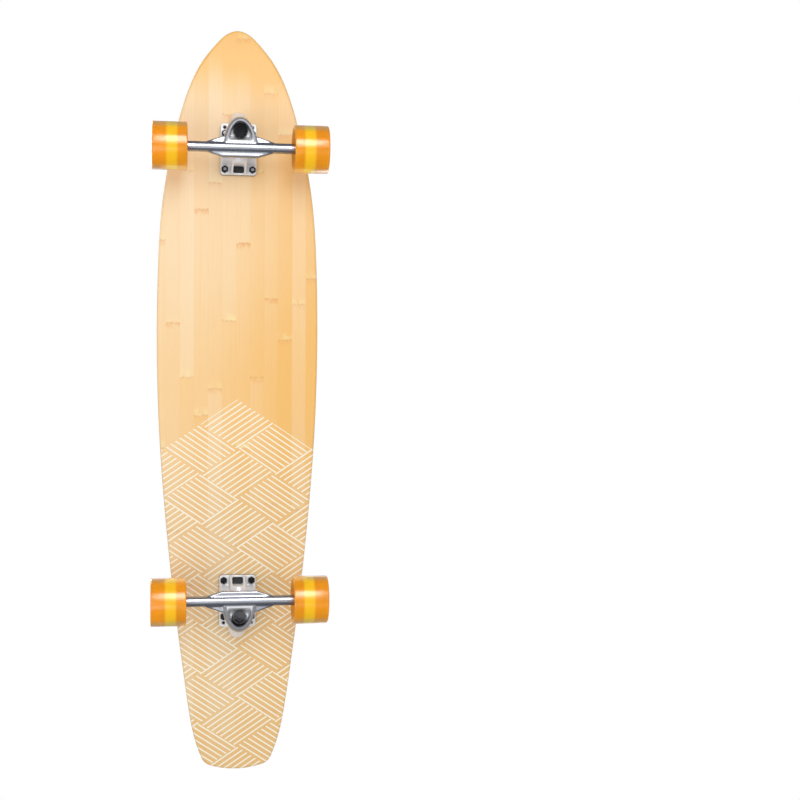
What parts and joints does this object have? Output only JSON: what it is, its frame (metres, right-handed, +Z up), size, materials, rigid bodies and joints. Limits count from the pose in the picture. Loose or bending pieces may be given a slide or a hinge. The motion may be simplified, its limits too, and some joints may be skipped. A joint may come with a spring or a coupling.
{
  "type": "longboard skateboard",
  "caption": "Longboard skateboard: a pointed bamboo deck with a gritted top on tilting sprung trucks, rolling on translucent wheels with ball bearings.",
  "frame": {"origin": "on the floor under the wheels, at the deck's mid-length and on its centre line", "axes": "+X towards the nose, +Y to the left, +Z up"},
  "size_m": [1.1176, 0.257, 0.1242],
  "materials": {
    "bamboo": "clear satin lacquer",
    "core_plies": "clear satin lacquer",
    "grip": "fine black grit",
    "cast_aluminium": "tumbled cast metal, polished on the tube",
    "steel": "bright zinc",
    "black_steel": "black oxide",
    "bearing_steel": "ground and polished",
    "cage_brass": "pressed brass",
    "black_urethane": "moulded satin",
    "amber_urethane": "smooth translucent urethane",
    "yellow_core": "moulded gloss"
  },
  "bodies": {
    "deck": {"deck_bottom_ply": "bamboo", "deck_core": "core_plies", "deck_top_ply": "bamboo", "grip_tape": "grip", "front_riser_pad": "black_urethane", "front_baseplate": "cast_aluminium", "front_pivot_cup": "black_urethane", "front_kingpin": "black_steel", "front_kingpin_nut": "black_steel", "front_cup_washers": "black_steel", "front_boardside_bushing": "black_urethane", "front_roadside_bushing": "black_urethane", "front_deck_nuts": "black_steel", "front_deck_bolts": "steel", "rear_riser_pad": "black_urethane", "rear_baseplate": "cast_aluminium", "rear_pivot_cup": "black_urethane", "rear_kingpin": "black_steel", "rear_kingpin_nut": "black_steel", "rear_cup_washers": "black_steel", "rear_boardside_bushing": "black_urethane", "rear_roadside_bushing": "black_urethane", "rear_deck_nuts": "black_steel", "rear_deck_bolts": "black_steel"},
    "front_hanger": {"front_hanger": "cast_aluminium", "front_axle": "steel", "front_speed_washers": "steel", "front_inner_races": "bearing_steel", "front_bearing_spacers": "steel", "front_axle_nuts": "black_steel"},
    "front_left_wheel": {"front_left_tyre": "amber_urethane", "front_left_wheel_core": "yellow_core", "front_left_outer_races": "bearing_steel", "front_left_bearing_shields": "black_steel"},
    "front_left_balls": {"front_left_bearing_balls": "bearing_steel", "front_left_ball_cages": "cage_brass"},
    "front_right_wheel": {"front_right_tyre": "amber_urethane", "front_right_wheel_core": "yellow_core", "front_right_outer_races": "bearing_steel", "front_right_bearing_shields": "black_steel"},
    "front_right_balls": {"front_right_bearing_balls": "bearing_steel", "front_right_ball_cages": "cage_brass"},
    "rear_hanger": {"rear_hanger": "cast_aluminium", "rear_axle": "steel", "rear_speed_washers": "steel", "rear_inner_races": "bearing_steel", "rear_bearing_spacers": "steel", "rear_axle_nuts": "black_steel"},
    "rear_left_wheel": {"rear_left_tyre": "amber_urethane", "rear_left_wheel_core": "yellow_core", "rear_left_outer_races": "bearing_steel", "rear_left_bearing_shields": "black_steel"},
    "rear_left_balls": {"rear_left_bearing_balls": "bearing_steel", "rear_left_ball_cages": "cage_brass"},
    "rear_right_wheel": {"rear_right_tyre": "amber_urethane", "rear_right_wheel_core": "yellow_core", "rear_right_outer_races": "bearing_steel", "rear_right_bearing_shields": "black_steel"},
    "rear_right_balls": {"rear_right_bearing_balls": "bearing_steel", "rear_right_ball_cages": "cage_brass"}
  },
  "joints": [
    {"name": "front_steer", "type": "hinge", "parent": "deck", "child": "front_hanger", "pos_m": [0.398, 0, 0.049], "axis": [0.9272, 0, -0.3746], "range_deg": [-12, 12], "stiffness_Nm_per_rad": 60, "deforming": ["front_boardside_bushing", "front_roadside_bushing"]},
    {"name": "front_left_wheel_spin", "type": "hinge", "parent": "front_hanger", "child": "front_left_wheel", "pos_m": [0.3685, 0.103, 0.035], "axis": [0, 1, 0], "continuous": true},
    {"name": "front_left_balls_roll", "type": "hinge", "parent": "front_hanger", "child": "front_left_balls", "pos_m": [0.3685, 0.103, 0.035], "axis": [0, 1, 0], "continuous": true},
    {"name": "front_right_wheel_spin", "type": "hinge", "parent": "front_hanger", "child": "front_right_wheel", "pos_m": [0.3685, -0.103, 0.035], "axis": [0, 1, 0], "continuous": true},
    {"name": "front_right_balls_roll", "type": "hinge", "parent": "front_hanger", "child": "front_right_balls", "pos_m": [0.3685, -0.103, 0.035], "axis": [0, 1, 0], "continuous": true},
    {"name": "rear_steer", "type": "hinge", "parent": "deck", "child": "rear_hanger", "pos_m": [-0.3245, 0, 0.049], "axis": [-0.9272, 0, -0.3746], "range_deg": [-12, 12], "stiffness_Nm_per_rad": 60, "deforming": ["rear_boardside_bushing", "rear_roadside_bushing"]},
    {"name": "rear_left_wheel_spin", "type": "hinge", "parent": "rear_hanger", "child": "rear_left_wheel", "pos_m": [-0.295, 0.103, 0.035], "axis": [0, 1, 0], "continuous": true},
    {"name": "rear_left_balls_roll", "type": "hinge", "parent": "rear_hanger", "child": "rear_left_balls", "pos_m": [-0.295, 0.103, 0.035], "axis": [0, 1, 0], "continuous": true},
    {"name": "rear_right_wheel_spin", "type": "hinge", "parent": "rear_hanger", "child": "rear_right_wheel", "pos_m": [-0.295, -0.103, 0.035], "axis": [0, 1, 0], "continuous": true},
    {"name": "rear_right_balls_roll", "type": "hinge", "parent": "rear_hanger", "child": "rear_right_balls", "pos_m": [-0.295, -0.103, 0.035], "axis": [0, 1, 0], "continuous": true}
  ],
  "couplings": [
    {"joint": "front_left_balls_roll", "follows": "front_left_wheel_spin", "ratio": 0.62829},
    {"joint": "front_right_balls_roll", "follows": "front_right_wheel_spin", "ratio": 0.62829},
    {"joint": "rear_left_balls_roll", "follows": "rear_left_wheel_spin", "ratio": 0.62829},
    {"joint": "rear_right_balls_roll", "follows": "rear_right_wheel_spin", "ratio": 0.62829}
  ]
}
